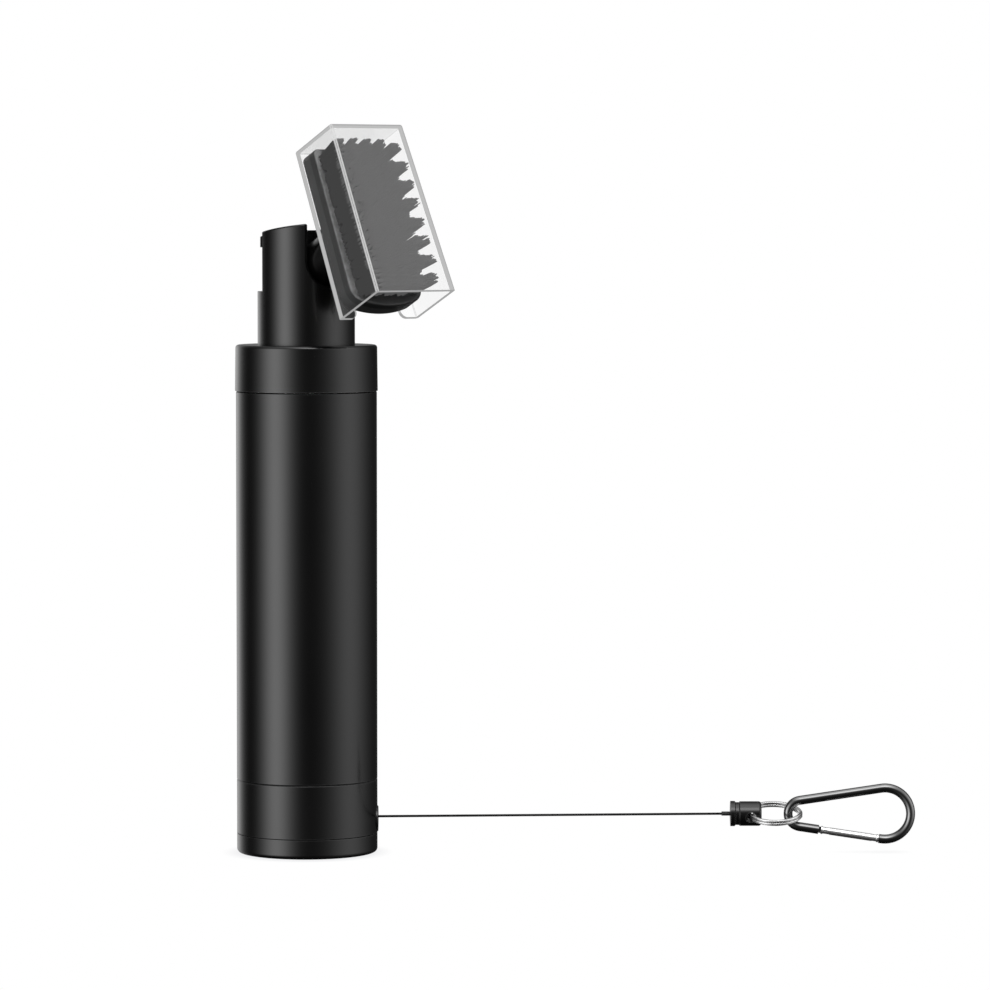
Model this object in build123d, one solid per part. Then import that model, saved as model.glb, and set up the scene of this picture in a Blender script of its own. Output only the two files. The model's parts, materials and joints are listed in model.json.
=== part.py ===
"""Water-fed club groove brush: bottle, thumb pump, tilting brush head, clear cover and cord reel.

Millimetres, +Z up. The origin is the centre of the bottle's bottom face and +X is the side
on which the pull cord leaves the reel. The brush head faces along the horizontal direction
FACING, and most head parts are drawn in a local frame before they are placed:
  local X = across the brush, local Y = up the brush, local Z = out of the bristles.
"""
from build123d import *
import math
import os

# ---------------------------------------------------------------- driving dimensions
BODY_R = 20.0               # bottle, reel housing and bottom cap
CAP_TOP = 5.5               # bottom cap / reel housing seam
HOUSING_TOP = 20.9          # reel housing / bottle seam
BOTTLE_TOP = 131.3          # bottle / collar seam
COLLAR_TOP = 144.5
COLLAR_R = 20.2
SHELL_WALL = 1.0            # outer metal sleeve
WALL = 1.8                  # moulded plastic wall
FOOT_ROUND = 1.2            # rounding of the bottom cap's outer edge
SEAM_BEVEL = 0.25
GAP = 0.05                  # between parts that plug into each other
RUN = 0.05                  # radial running clearance

NECK_R = 13.8
NECK_TOP_MEAN = 177.0       # height of the slanted top on the axis
NECK_TOP_SLOPE = 9.4        # degrees, rising towards the brush side
FACING = -51.5              # azimuth of the brush side, degrees from +X
PIVOT_Z = 163.6             # tilt axis of the brush head
HEAD_TILT = 25.4            # rest elevation of the bristle direction, degrees
SLOT_W = 14.6               # gap between the two cheeks of the neck
SLOT_FLOOR = 160.8          # lowest point of the rounded front slot
SLOT_ROUND = 0.8            # rounding of the slot's outer edge
TOP_ROUND = 0.5
REAR_CUT = 2.5              # rear face of the cheeks, behind the axis
SILL_Z = 159.6              # rear wall is cut away above this height
BRIDGE_Z = 172.2            # underside of the bridge that joins the cheeks
BRIDGE_T = 1.8

KNUCKLE_R = 7.8             # round end of the head arm
ARM_R = 6.9
COVER_BACK = 25.6           # tilt axis to the cover's back face, along the bristles
COVER_L = 51.4
COVER_SHIFT = 1.0           # the cover's middle sits this far up from the arm's axis
COVER_W_TOP = 25.3
COVER_W_END = 27.5
COVER_D_TOP = 18.6
COVER_D_END = 19.4
COVER_WALL = 1.1
COVER_CORNER = 0.8          # outside corner radius
COVER_SLOT_HALF = 7.7       # half width of the slot for the arm
BLOCK_T = 3.6               # thickness of the brush block
PLATE_T = 2.4               # thickness of the tuft plate
BLOCK_TOP = 23.4            # block's upper end, above the middle of the cover
BLOCK_END = -24.8           # and its lower end, at the middle of the bow
BLOCK_BOW = 2.6             # the lower end's bow
BLOCK_W_TOP = 11.35         # half widths
BLOCK_W_END = 12.3
BRISTLE_TIP = 17.1          # bristle tips, from the cover's back face
FIELD_W = 19.8              # bristle field at the plate
FIELD_L = 42.0
FIELD_FLARE = 1.0           # how far it leans outwards at the tips, on each side
FIELD_CORNER = 1.5

THREAD_LEAD = 3.0
THREAD_H = 0.9
THREAD_TURNS = 1.5
MOUTH_R = 16.8              # root radius of the bottle's mouth thread
MOUTH_TOP = 139.0

CORD_R = 0.33
CORD_Z = 10.0               # cord height where it leaves the housing
CORD_RISE = 0.8             # rise of the cord along its free length
EYELET_R = 3.7
EYELET_Z = 9.45
EYELET_PROUD = 0.25
FERRULE_X = 120.6           # cord side of the ferrule
FERRULE_L = 8.8
FERRULE_R = 3.5
SLEEVE_R = 0.6
SLEEVE_L = 4.5
SLEEVE_PLUG = 2.0           # part of the sleeve inside the ferrule
RING_R = 7.4                # split ring, to the wire's centre
RING_WIRE = 0.8
RING_TILT = 16.0            # the ring's plane leans this far out of the horizontal, degrees
CLIP_R = 1.3                # carabiner wire
CLIP_SMALL_R = 3.8          # narrow end, to the wire's centre
CLIP_BIG_R = 7.33
CLIP_PITCH = 23.8           # distance between the two end arcs
GATE_START = 7.4            # gate pin, along the lower straight from the narrow arc
GATE_END = 22.7             # nose, along the same straight
GATE_R = 1.05
GATE_PIN_R = 0.4

# ---------------------------------------------------------------- worked-out places
FACING_DIR = Vector(math.cos(math.radians(FACING)), math.sin(math.radians(FACING)), 0)
KNUCKLE_HALF = SLOT_W / 2 - 0.6     # leaves room for a washer on each side
TRUNNION_R = 2.0
TRUNNION_L = 3.0                    # trunnion inside each cheek
WASHER_T = 0.5
WASHER_AT = SLOT_W / 2 - 0.3
WATER_R = 0.8                       # water bore of the arm and of the cheek
ARM_REACH = COVER_BACK + COVER_WALL + 0.15
BLOCK_BACK = COVER_WALL + 0.15      # block's rear face, from the cover's back face
BLOCK_SCREW_Y = (14.5, -14.5)
NOZZLE_R = 1.6
NECK_FLOOR = 142.2                  # underside of the neck's floor
FLOOR_T = 2.0
POCKET_Z = 155.4                    # floor of the pocket for the knuckle
YOKE_Z = 152.0                      # underside of the thumb press's yoke
YOKE_T = 2.4
PEG_R = 2.0                         # the piston rod's peg in the yoke
PEG_L = 2.0
TAB_TOP = 175.2                     # thumb tab
TAB_T = 3.2
TAB_HALF = 6.35
TAB_REACH = 14.4                    # rear edge of the tab, from the axis
LEG_BACK = -10.1                    # rear face of the leg, inside the neck's rear wall
LEG_T = 1.4
CYL_R = 7.2                         # pump cylinder
CYL_BORE = 6.0
CYL_FLOOR = 112.0
PUMP_FLANGE_R = 12.6
FLANGE_R = 17.2                     # the neck's flange under the collar
RISER_X = 9.4                       # riser tube, out from the axis along the tilt axis
RISER_R = 1.25
RISER_TOP = 158.2
RISER_FOOT = CYL_FLOOR + 3.4
DIP_R = 2.5
DIP_END = 30.0
ROD_R = 3.5
PISTON_Z = 130.0
SEAL_Z = PISTON_Z + 1.5             # groove of the piston's seal
SEAL_H = 1.5
SEAL_T = 1.0
BALL_R = 2.2
PORT_R = 1.6                        # inlet hole under the ball
RESERVOIR_FLOOR = 25.0
RESERVOIR_R = BODY_R - SHELL_WALL - GAP
RESERVOIR_WALL = 1.5
SPIGOT_H = 3.5                      # the housing's spigot inside the bottle
AXLE_R = 1.5
AXLE_START = 2.5
CAP_RIM = CAP_TOP + 0.7             # top of the bottom cap's locating rim
HOUSING_WALL = 2.0
SCREW_R = 1.0                       # all screws: shank, head and cross recess
SCREW_HEAD_R = 1.9
CROSS_HALF = 1.1
CROSS_W = 0.25
SCREW_PCR = 15.7                    # bottom screws
SCREW_ANGLES = (60, 180, 300)
SPOOL_R = 12.8
SPOOL_BASE = 7.4
DRUM_R = 6.8
DRUM_LOW = 8.2                      # the cord's room between the flanges
DRUM_HIGH = 12.2
CUP_FLOOR = 13.4                    # spring cup on top of the spool
CUP_TOP = 18.2
WOUND_R = 9.8
CORD_END_Z = CORD_Z + CORD_RISE
RING_HOLE_X = FERRULE_X + 5.8
RING_HOLE_R = 1.55
RING_X = RING_HOLE_X + RING_R - 0.44
CLIP_X = RING_X + RING_R + 0.1      # the narrow end's centre sits on the ring's wire
CLIP_LEAN = math.degrees(math.asin((CLIP_BIG_R - CLIP_SMALL_R) / CLIP_PITCH))
TONGUE_T = 1.0                      # the body's tongues inside the forked gate ends
TONGUE_HALF = 0.85
FORK_HALF = 0.55
BAND_W = 0.5                        # the thicker band at each end of the gate
GATE_TAIL = 1.2                     # the gate's end behind its pin

os.makedirs("parts", exist_ok=True)


# ---------------------------------------------------------------- helpers
def rod(radius, bottom, top, x=0.0, y=0.0):
    """A plain vertical cylinder between two heights."""
    return Pos(x, y, (bottom + top) / 2) * Cylinder(radius, top - bottom)


def ring(outer, inner, bottom, top, x=0.0, y=0.0):
    """A vertical tube between two heights."""
    return rod(outer, bottom, top, x, y) - rod(inner, bottom - 1, top + 1, x, y)


def block(x0, x1, y0, y1, z0, z1):
    """A box given by its corner values."""
    return Pos((x0 + x1) / 2, (y0 + y1) / 2, (z0 + z1) / 2) * Box(x1 - x0, y1 - y0, z1 - z0)


def turned(points):
    """A solid of revolution about Z from (radius, height) points."""
    profile = make_face(Polyline([(r, 0, z) for r, z in points], close=True))
    return revolve(profile, Axis.Z)


def coil(mean_r, wire_r, bottom, top, turns):
    """A round-wire spring standing on Z between two heights."""
    height = top - bottom - 2 * wire_r
    path = Helix(height / turns, height, mean_r)
    start = Plane(origin=path @ 0, z_dir=path % 0)
    return Pos(0, 0, bottom + wire_r) * sweep(start * Circle(wire_r), path, is_frenet=True)


def thread_ridge(root_r, crest_r, start_z, turns):
    """A helical ridge of trapezoid section; the root may lie inside or outside the crest."""
    root_half, crest_half = THREAD_LEAD / 4, THREAD_LEAD / 8
    path = Helix(THREAD_LEAD, THREAD_LEAD * turns, root_r)
    start = Plane(origin=path @ 0, x_dir=(1, 0, 0), z_dir=path % 0)
    height = crest_r - root_r
    bite = math.copysign(3 * GAP, -height)
    corners = [(bite, -root_half), (height, -crest_half), (height, crest_half), (bite, root_half)]
    ridge = sweep(start * make_face(Polyline(corners, close=True)), path, is_frenet=True)
    return Pos(0, 0, start_z) * ridge


def cross_recess(bottom, depth):
    """The cross in a screw's head, cut upwards from the head's face."""
    slot = block(-CROSS_HALF, CROSS_HALF, -CROSS_W, CROSS_W, bottom, bottom + depth)
    return slot + Rot(0, 0, 90) * slot


def bevel_widest(shape):
    """Bevels the outermost round edges."""
    edges = shape.edges().filter_by(GeomType.CIRCLE).group_by(SortBy.RADIUS)[-1]
    return chamfer(edges, SEAM_BEVEL)


def facing(shape):
    """Turns a shape drawn with the brush side along +X to the brush's real facing."""
    return Rot(0, 0, FACING) * shape


def on_head(shape):
    """Places a shape from the head's local frame, whose origin is on the tilt axis."""
    tilt = math.radians(HEAD_TILT)
    out = FACING_DIR * math.cos(tilt) + Vector(0, 0, math.sin(tilt))
    across = Vector(-FACING_DIR.Y, FACING_DIR.X, 0)
    return Plane(origin=(0, 0, PIVOT_Z), x_dir=across, z_dir=out) * shape


def from_cover(shape):
    """Places a shape from the cover's own frame, whose origin is the middle of its back face."""
    return on_head(Pos(0, COVER_SHIFT, COVER_BACK) * shape)


def across_head(shape, centre):
    """Lays a shape drawn on +Z along the tilt axis, centred this far from the middle."""
    return Pos(centre, 0, 0) * Rot(0, 90, 0) * shape


def along_x(shape, x, z=CORD_END_Z):
    """Lays a shape drawn on +Z along +X, starting at x."""
    return Pos(x, 0, z) * Rot(0, 90, 0) * shape


def save(shape, name):
    """Writes one sub-part to its own STEP file."""
    shape.label = name
    export_step(shape, f"parts/{name}.step")


# ---------------------------------------------------------------- bottle body
def bottle_shell():
    """Outer metal sleeve with a small bevel at each seam."""
    return bevel_widest(ring(BODY_R, BODY_R - SHELL_WALL, HOUSING_TOP, BOTTLE_TOP))


def water_reservoir():
    """Inner bottle: floor, wall, sloping shoulder and a threaded mouth."""
    shoulder = BOTTLE_TOP - 2 * GAP
    inner = RESERVOIR_R - RESERVOIR_WALL
    mouth = MOUTH_R - WALL
    throat = shoulder - THREAD_LEAD
    floor = RESERVOIR_FLOOR + WALL
    body = turned([
        (0, RESERVOIR_FLOOR), (RESERVOIR_R, RESERVOIR_FLOOR), (RESERVOIR_R, shoulder),
        (MOUTH_R, shoulder), (MOUTH_R, MOUTH_TOP), (mouth, MOUTH_TOP), (mouth, throat),
        (inner, throat - THREAD_LEAD), (inner, floor), (0, floor),
    ])
    return body + thread_ridge(MOUTH_R, MOUTH_R + THREAD_H, BOTTLE_TOP + 1.5, THREAD_TURNS)


def reel_housing():
    """Cup for the cord reel, closed on top, with a spigot that plugs into the bottle."""
    roof = HOUSING_TOP - HOUSING_WALL
    spigot_top = HOUSING_TOP + SPIGOT_H
    cup = bevel_widest(rod(BODY_R, CAP_TOP, HOUSING_TOP) + rod(RESERVOIR_R, HOUSING_TOP, spigot_top))
    cup -= rod(BODY_R - HOUSING_WALL, CAP_TOP - 1, roof)
    cup -= rod(RESERVOIR_R - HOUSING_WALL, HOUSING_TOP, spigot_top + 1)
    cup -= rod(AXLE_R, roof - 1, roof + 1)
    for angle in SCREW_ANGLES:
        post = rod(2 * SCREW_R, CAP_RIM, roof + 1) - rod(SCREW_R, CAP_RIM - 1, 14.0)
        cup += Rot(0, 0, angle) * Pos(SCREW_PCR, 0, 0) * post
    hole = Cylinder(EYELET_R, 2 * HOUSING_WALL + 1, align=(Align.CENTER, Align.CENTER, Align.MIN))
    return cup - along_x(hole, BODY_R - 2 * HOUSING_WALL, EYELET_Z)


def bottom_cap():
    """Base disc with a rounded foot, a locating rim and three countersunk holes."""
    disc = rod(BODY_R, 0, CAP_TOP)
    disc = fillet(disc.edges().sort_by(Axis.Z)[0], FOOT_ROUND)
    cap = disc + rod(BODY_R - HOUSING_WALL - GAP, CAP_TOP, CAP_RIM)
    cap -= rod(AXLE_R, AXLE_START, CAP_RIM + 1)
    for angle in SCREW_ANGLES:
        hole = rod(SCREW_HEAD_R + 0.2, -1, 2.0) + rod(SCREW_R + 0.1, -1, CAP_RIM + 1)
        cap -= Rot(0, 0, angle) * Pos(SCREW_PCR, 0, 0) * hole
    return cap


def bottom_screws():
    """Three pan-head screws with cross recesses."""
    screw = rod(SCREW_HEAD_R, 0.4, 2.0) + rod(SCREW_R, 2.0, 13.0) - cross_recess(0.3, 0.9)
    return Compound([Rot(0, 0, angle) * Pos(SCREW_PCR, 0, 0) * screw for angle in SCREW_ANGLES])


def cord_eyelet():
    """Bush in the housing wall that guides the cord; the bore flares where the cord leaves."""
    start = BODY_R - HOUSING_WALL
    length = BODY_R + EYELET_PROUD - start
    bore = CORD_R + 0.25
    bush = Cylinder(EYELET_R - GAP / 2, length, align=(Align.CENTER, Align.CENTER, Align.MIN))
    bush = fillet(bush.edges().sort_by(Axis.Z)[-1], 0.2)
    flare = Cone(bore, 1.5, 1.2, align=(Align.CENTER, Align.CENTER, Align.MAX))
    # laid along +X, local +X points down, so the bore above the bush's middle is at minus X
    passage = Pos(EYELET_Z - CORD_Z, 0, 0) * (Cylinder(bore, 30) + Pos(0, 0, length + 0.01) * flare)
    return along_x(bush - passage, start, EYELET_Z)


def reel_axle():
    """Steel pin held in the bottom cap and in the housing's top."""
    return rod(AXLE_R, AXLE_START, HOUSING_TOP - HOUSING_WALL + 1)


def power_spring():
    """Flat clock spring wound round the axle inside the spool's cup."""
    turns, steps_per_turn, strip_t = 5, 8, 0.3
    inner, outer = AXLE_R + 0.7, SPOOL_R - 1.6
    steps = turns * steps_per_turn
    points = []
    for i in range(steps + 1):
        angle = 2 * math.pi * i / steps_per_turn
        radius = inner + (outer - inner) * i / steps
        points.append((radius * math.cos(angle), radius * math.sin(angle)))
    hook = Line((AXLE_R + 0.01, 0), points[0])
    strip = trace(Spline(points), strip_t) + trace(hook, strip_t)
    return Pos(0, 0, CUP_FLOOR + 0.4) * extrude(strip, 3.8)


# ---------------------------------------------------------------- spool body
def reel_spool():
    """Drum between two flanges, with a cup above for the power spring."""
    bore = AXLE_R + RUN
    return turned([
        (bore, SPOOL_BASE), (SPOOL_R, SPOOL_BASE), (SPOOL_R, DRUM_LOW), (DRUM_R, DRUM_LOW),
        (DRUM_R, DRUM_HIGH), (SPOOL_R, DRUM_HIGH), (SPOOL_R, CUP_TOP), (SPOOL_R - 0.8, CUP_TOP),
        (SPOOL_R - 0.8, CUP_FLOOR), (bore, CUP_FLOOR),
    ])


def wound_cord():
    """Layers of cord on the drum, one ridge to each turn."""
    turns = 6
    low, high = DRUM_LOW + 0.1, DRUM_HIGH - 0.1
    pitch = (high - low) / turns
    points = [(DRUM_R, low)]
    for i in range(turns):
        points.append((WOUND_R, low + pitch * (i + 0.5)))
        points.append((WOUND_R - 0.2, low + pitch * (i + 1)))
    return turned(points + [(DRUM_R, high)])


# ---------------------------------------------------------------- cord end
def pull_cord():
    """Cord that leaves the winding at a tangent, passes the eyelet and ends in the ferrule."""
    eye = Vector(17.2, 0, CORD_Z)
    lead_r = WOUND_R + CORD_R + GAP
    lead_angle = -math.acos(lead_r / eye.X)
    lead = Vector(lead_r * math.cos(lead_angle), lead_r * math.sin(lead_angle), CORD_Z)
    end = Vector(FERRULE_X + SLEEVE_PLUG, 0, CORD_END_Z)
    inner = Solid.make_cylinder(CORD_R, (eye - lead).length, Plane(origin=lead, z_dir=eye - lead))
    outer = Solid.make_cylinder(CORD_R, (end - eye).length, Plane(origin=eye, z_dir=end - eye))
    return inner + outer + Pos(*eye) * Sphere(CORD_R)


def cord_sleeve():
    """Short crimp sleeve that stops the cord's end in the ferrule."""
    sleeve = Cylinder(SLEEVE_R, SLEEVE_L, align=(Align.CENTER, Align.CENTER, Align.MIN))
    bore = Cylinder(CORD_R + GAP, 3 * SLEEVE_L)
    return along_x(sleeve - bore, FERRULE_X + SLEEVE_PLUG - SLEEVE_L)


def cord_ferrule():
    """Turned end piece with a lip, a groove and a cross hole for the ring."""
    lip_r, lip_end = FERRULE_R + 0.1, 1.2
    groove_r, groove_end, bevel = FERRULE_R - 0.25, 2.4, 0.3
    body = turned([
        (SLEEVE_R, 0), (lip_r, 0), (lip_r, lip_end), (groove_r, lip_end + bevel),
        (groove_r, groove_end), (FERRULE_R, groove_end + bevel), (FERRULE_R, FERRULE_L),
        (0, FERRULE_L), (0, SLEEVE_PLUG), (SLEEVE_R, SLEEVE_PLUG),
    ])
    body = fillet(body.edges().sort_by(Axis.Z)[-1], 0.8)
    hole = Rot(RING_TILT, 0, 0) * Rot(90, 0, 0) * Cylinder(RING_HOLE_R, 4 * FERRULE_R)
    return along_x(body, FERRULE_X) - Pos(RING_HOLE_X, 0, CORD_END_Z) * hole


def split_ring():
    """Two flat coils of wire; the ring's near side hangs below its far side."""
    coils = 1.97
    pitch = RING_WIRE + GAP
    path = Helix(pitch, pitch * coils, RING_R)
    start = Plane(origin=path @ 0, x_dir=(1, 0, 0), z_dir=path % 0)
    wire = sweep(start * RectangleRounded(RING_WIRE, RING_WIRE - 0.06, 0.15), path, is_frenet=True)
    return Pos(RING_X, 0, CORD_END_Z) * Rot(RING_TILT, 0, 0) * Pos(0, 0, -pitch * coils / 2) * wire


# ---------------------------------------------------------------- carabiner
def clip_point(radius, angle, centre_x=0.0):
    """A point of the carabiner's plane; angle is measured from +X towards +Z."""
    a = math.radians(angle)
    return Vector(CLIP_X + centre_x + radius * math.cos(a), 0, CORD_END_Z + radius * math.sin(a))


def gate_point(distance):
    """A point on the lower straight side, measured from the narrow end's arc."""
    start = clip_point(CLIP_SMALL_R, -90 - CLIP_LEAN)
    end = clip_point(CLIP_BIG_R, -90 - CLIP_LEAN, CLIP_PITCH)
    return start + (end - start).normalized() * distance


def on_gate(shape):
    """Places a shape drawn on +Z so that it runs from the gate pin towards the nose."""
    start = gate_point(GATE_START)
    along = (gate_point(GATE_END) - start).normalized()
    inwards = Vector(0, 1, 0).cross(along)
    return Plane(origin=start, x_dir=inwards, z_dir=along) * shape


def gate_tongue(start, end):
    """Flat tongue of the body between two places along the gate."""
    return block(-TONGUE_HALF, TONGUE_HALF, -TONGUE_T / 2, TONGUE_T / 2, start, end)


def carabiner_body():
    """Pear-shaped wire with a flat tongue at the gate pin and another at the nose."""
    low_small = clip_point(CLIP_SMALL_R, -90 - CLIP_LEAN)
    low_big = clip_point(CLIP_BIG_R, -90 - CLIP_LEAN, CLIP_PITCH)
    high_small = clip_point(CLIP_SMALL_R, 90 + CLIP_LEAN)
    high_big = clip_point(CLIP_BIG_R, 90 + CLIP_LEAN, CLIP_PITCH)
    path = Wire([
        Line(gate_point(GATE_START - 1.9), low_small),
        ThreePointArc(low_small, clip_point(CLIP_SMALL_R, 180), high_small),
        Line(high_small, high_big),
        ThreePointArc(high_big, clip_point(CLIP_BIG_R, 0, CLIP_PITCH), low_big),
        Line(low_big, gate_point(GATE_END + 0.2)),
    ])
    body = sweep(Plane(origin=path @ 0, z_dir=path % 0) * Circle(CLIP_R), path)
    length = GATE_END - GATE_START
    tongues = gate_tongue(-2.4, 0.9) + gate_tongue(length - 1.6, length + 0.6)
    tongues -= Rot(90, 0, 0) * Cylinder(GATE_PIN_R + RUN, 6)
    seat = Pos(CLIP_X, 0, CORD_END_Z) * Rot(90, 0, 0) * Cylinder(CLIP_SMALL_R - CLIP_R + GAP, 6)
    return body + on_gate(tongues) - seat


def carabiner_gate():
    """Straight rod with a thicker band at each end, forked over the two tongues."""
    length = GATE_END - GATE_START
    band_r, bevel = GATE_R + 0.15, 0.1
    tail_band, nose_band = BAND_W - GATE_TAIL, length - BAND_W
    tube = turned([
        (0, -GATE_TAIL), (band_r, -GATE_TAIL), (band_r, tail_band), (GATE_R, tail_band + bevel),
        (GATE_R, nose_band - bevel), (band_r, nose_band), (band_r, length), (0, length),
    ])
    tube -= block(-2, 2, -FORK_HALF, FORK_HALF, -2, 1.3)
    tube -= block(-2, 2, -FORK_HALF, FORK_HALF, length - 1.8, length + 1)
    tube -= rod(0.7, 1.0, 7.0)
    return on_gate(tube - Rot(90, 0, 0) * Cylinder(GATE_PIN_R, 6))


def gate_pin():
    """Rivet through the tongue and the gate's fork."""
    return on_gate(Rot(90, 0, 0) * Cylinder(GATE_PIN_R - 0.02, 2 * GATE_R))


def gate_spring():
    """Small coil inside the gate that pushes on the hinge tongue."""
    return on_gate(coil(0.45, 0.12, 1.6, 6.8, 8))


# ---------------------------------------------------------------- collar and pump
def collar():
    """Screw cap: thread inside, hole for the neck on top, slightly wider lower edge."""
    bore = MOUTH_R + THREAD_H + 4 * GAP
    foot, roof = BOTTLE_TOP + 3 * GAP, NECK_FLOOR + 2 * GAP
    neck_hole = NECK_R + 2 * GAP
    shell = turned([
        (bore, foot), (COLLAR_R + 0.05, foot), (COLLAR_R, COLLAR_TOP - 9),
        (COLLAR_R - 0.1, COLLAR_TOP), (neck_hole, COLLAR_TOP), (neck_hole, roof), (bore, roof),
    ])
    top_edges = shell.edges().filter_by(GeomType.CIRCLE).group_by(Axis.Z)[-1]
    shell = fillet(top_edges.sort_by(SortBy.RADIUS)[-1], 0.9)
    return shell + thread_ridge(bore, MOUTH_R + 4 * GAP, BOTTLE_TOP + THREAD_LEAD, THREAD_TURNS)


def neck_column():
    """Plain cylinder with a slanted top; the brush side is +X."""
    column = rod(NECK_R, NECK_FLOOR, NECK_TOP_MEAN + 10)
    above = block(-40, 40, -40, 40, 0, 40)
    return column - Pos(0, 0, NECK_TOP_MEAN) * Rot(0, -NECK_TOP_SLOPE, 0) * above


def head_pocket():
    """The room between the cheeks: rounded slot in front, open behind and on top."""
    half = SLOT_W / 2
    wall_inside = NECK_R - WALL - 0.4
    slot_centre = SLOT_FLOOR + half
    room = block(-40, 0, -half, half, POCKET_Z, 200)
    room += rod(wall_inside, POCKET_Z, 200) & block(0, 40, -half, half, POCKET_Z, 200)
    room += Pos(20, 0, slot_centre) * Rot(0, 90, 0) * Cylinder(half, 40)
    room += block(0, 40, -half, half, slot_centre, 200)
    bridge = block(-REAR_CUT, BRIDGE_T - REAR_CUT, -half - 1, half + 1, BRIDGE_Z, 210)
    return room - bridge


def on_skin(edge):
    """True for an edge that lies on the neck's outer cylinder."""
    points = [edge.position_at(t) for t in (0.1, 0.5, 0.9)]
    return all(abs(math.hypot(p.X, p.Y) - NECK_R) < 0.05 for p in points)


def is_slot_rim(edge):
    """True for the outer edges of the rounded front slot, below the slanted top."""
    middle = edge.position_at(0.5)
    beside_slot = middle.X > 0 and abs(middle.Y) < SLOT_W / 2 + 0.1
    return on_skin(edge) and beside_slot and middle.Z > POCKET_Z


def is_top_rim(edge):
    """True for the outer edges of the slanted top."""
    middle = edge.position_at(0.5)
    slant = NECK_TOP_MEAN + middle.X * math.tan(math.radians(NECK_TOP_SLOPE))
    return on_skin(edge) and abs(middle.Z - slant) < 0.05


def neck_skin():
    """The neck's outside: slanted top, rounded front slot, two cheeks joined by a bridge."""
    neck = neck_column() - head_pocket()
    neck = fillet(neck.edges().filter_by(is_slot_rim), SLOT_ROUND)
    neck -= block(-40, -REAR_CUT, -40, 40, SILL_Z, 200)
    return fillet(neck.edges().filter_by(is_top_rim), TOP_ROUND)


def neck_housing():
    """Neck that holds the head between its cheeks, and a flange clamped by the collar."""
    socket_half = SLOT_W / 2 + TRUNNION_L + 0.2
    neck = neck_skin() + rod(FLANGE_R, NECK_FLOOR - FLOOR_T, NECK_FLOOR)
    neck -= rod(PUMP_FLANGE_R + 2 * GAP, NECK_FLOOR - 5, NECK_FLOOR)
    neck -= rod(NECK_R - WALL, NECK_FLOOR + FLOOR_T, POCKET_Z + 1.6)
    neck -= Pos(0, 0, PIVOT_Z) * Rot(90, 0, 0) * Cylinder(TRUNNION_R + RUN, 2 * socket_half)
    neck -= rod(ROD_R + RUN, NECK_FLOOR - 1, NECK_FLOOR + 5)
    neck -= rod(RISER_R, NECK_FLOOR - 1, RISER_TOP, 0, RISER_X)
    neck -= rod(WATER_R, RISER_TOP - 0.2, PIVOT_Z, 0, RISER_X)
    return facing(neck)


def mouth_gasket():
    """Flat rubber ring clamped between the mouth and the neck's flange."""
    return ring(MOUTH_R - 0.2, RISER_X + RISER_R + 0.35, MOUTH_TOP, NECK_FLOOR - FLOOR_T)


def pump_cylinder():
    """Cylinder with a top flange, an inlet seat, a dip tube socket and a side outlet boss."""
    foot = CYL_FLOOR - FLOOR_T
    socket_r, socket_end = DIP_R + 1.2, foot - 6
    body = turned([
        (CYL_BORE, CYL_FLOOR), (CYL_BORE, NECK_FLOOR), (PUMP_FLANGE_R, NECK_FLOOR),
        (PUMP_FLANGE_R, NECK_FLOOR - FLOOR_T), (CYL_R, NECK_FLOOR - FLOOR_T), (CYL_R, foot),
        (socket_r, foot), (socket_r, socket_end), (DIP_R, socket_end), (DIP_R, foot),
        (PORT_R, foot), (PORT_R, CYL_FLOOR),
    ])
    boss_top = CYL_FLOOR + 6
    body += rod(RISER_R + 1.05, foot, boss_top, 0, RISER_X)
    body += block(-PORT_R, PORT_R, CYL_BORE + 0.6, RISER_X, foot, boss_top)
    body -= rod(RISER_R, CYL_FLOOR + 1, NECK_FLOOR + 1, 0, RISER_X)
    outlet = Pos(0, CYL_R + 0.3, CYL_FLOOR + 2.2) * Rot(90, 0, 0) * Cylinder(WATER_R, 4)
    return facing(body - outlet)


def riser_tube():
    """Rigid tube that carries the water from the cylinder up into the neck's cheek."""
    return facing(ring(RISER_R, WATER_R, RISER_FOOT, RISER_TOP, 0, RISER_X))


def outlet_valve():
    """Small rubber flap valve under the riser tube, slit across its middle."""
    plug = rod(RISER_R, RISER_FOOT - 0.4, RISER_FOOT, 0, RISER_X)
    return facing(plug - block(-1, 1, RISER_X - GAP, RISER_X + GAP, 100, 200))


def dip_tube():
    """Tube from the pump's socket to just above the reservoir's floor, cut at a slant."""
    tube = ring(DIP_R, DIP_R - 0.8, DIP_END, CYL_FLOOR - FLOOR_T)
    return tube - Pos(0, 0, DIP_END) * Rot(0, 30, 0) * block(-9, 9, -9, 9, -9, 1.2)


def return_spring():
    """Coil under the piston that lifts the thumb press again."""
    return coil(4.7, 0.4, CYL_FLOOR + 0.02, PISTON_Z - 0.02, 7)


def inlet_ball():
    """Ball that closes the inlet when the piston comes down."""
    seat_height = math.sqrt(BALL_R ** 2 - PORT_R ** 2)
    return Pos(0, 0, CYL_FLOOR + seat_height + 0.02) * Sphere(BALL_R)


# ---------------------------------------------------------------- plunger
def piston_rod():
    """Rod with a piston head, a groove for its seal and a peg on top for the yoke."""
    head_r = CYL_BORE - RUN
    groove_r = head_r - SEAL_T
    head_top = SEAL_Z + SEAL_H + 1.5
    return turned([
        (0, PISTON_Z), (head_r, PISTON_Z), (head_r, SEAL_Z), (groove_r, SEAL_Z),
        (groove_r, SEAL_Z + SEAL_H), (head_r, SEAL_Z + SEAL_H), (head_r, head_top),
        (ROD_R, head_top), (ROD_R, YOKE_Z), (PEG_R, YOKE_Z), (PEG_R, YOKE_Z + PEG_L),
        (0, YOKE_Z + PEG_L),
    ])


def piston_seal():
    """Square-section ring in the piston's groove."""
    return ring(CYL_BORE - 0.02, CYL_BORE - RUN - SEAL_T, SEAL_Z, SEAL_Z + SEAL_H)


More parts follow.
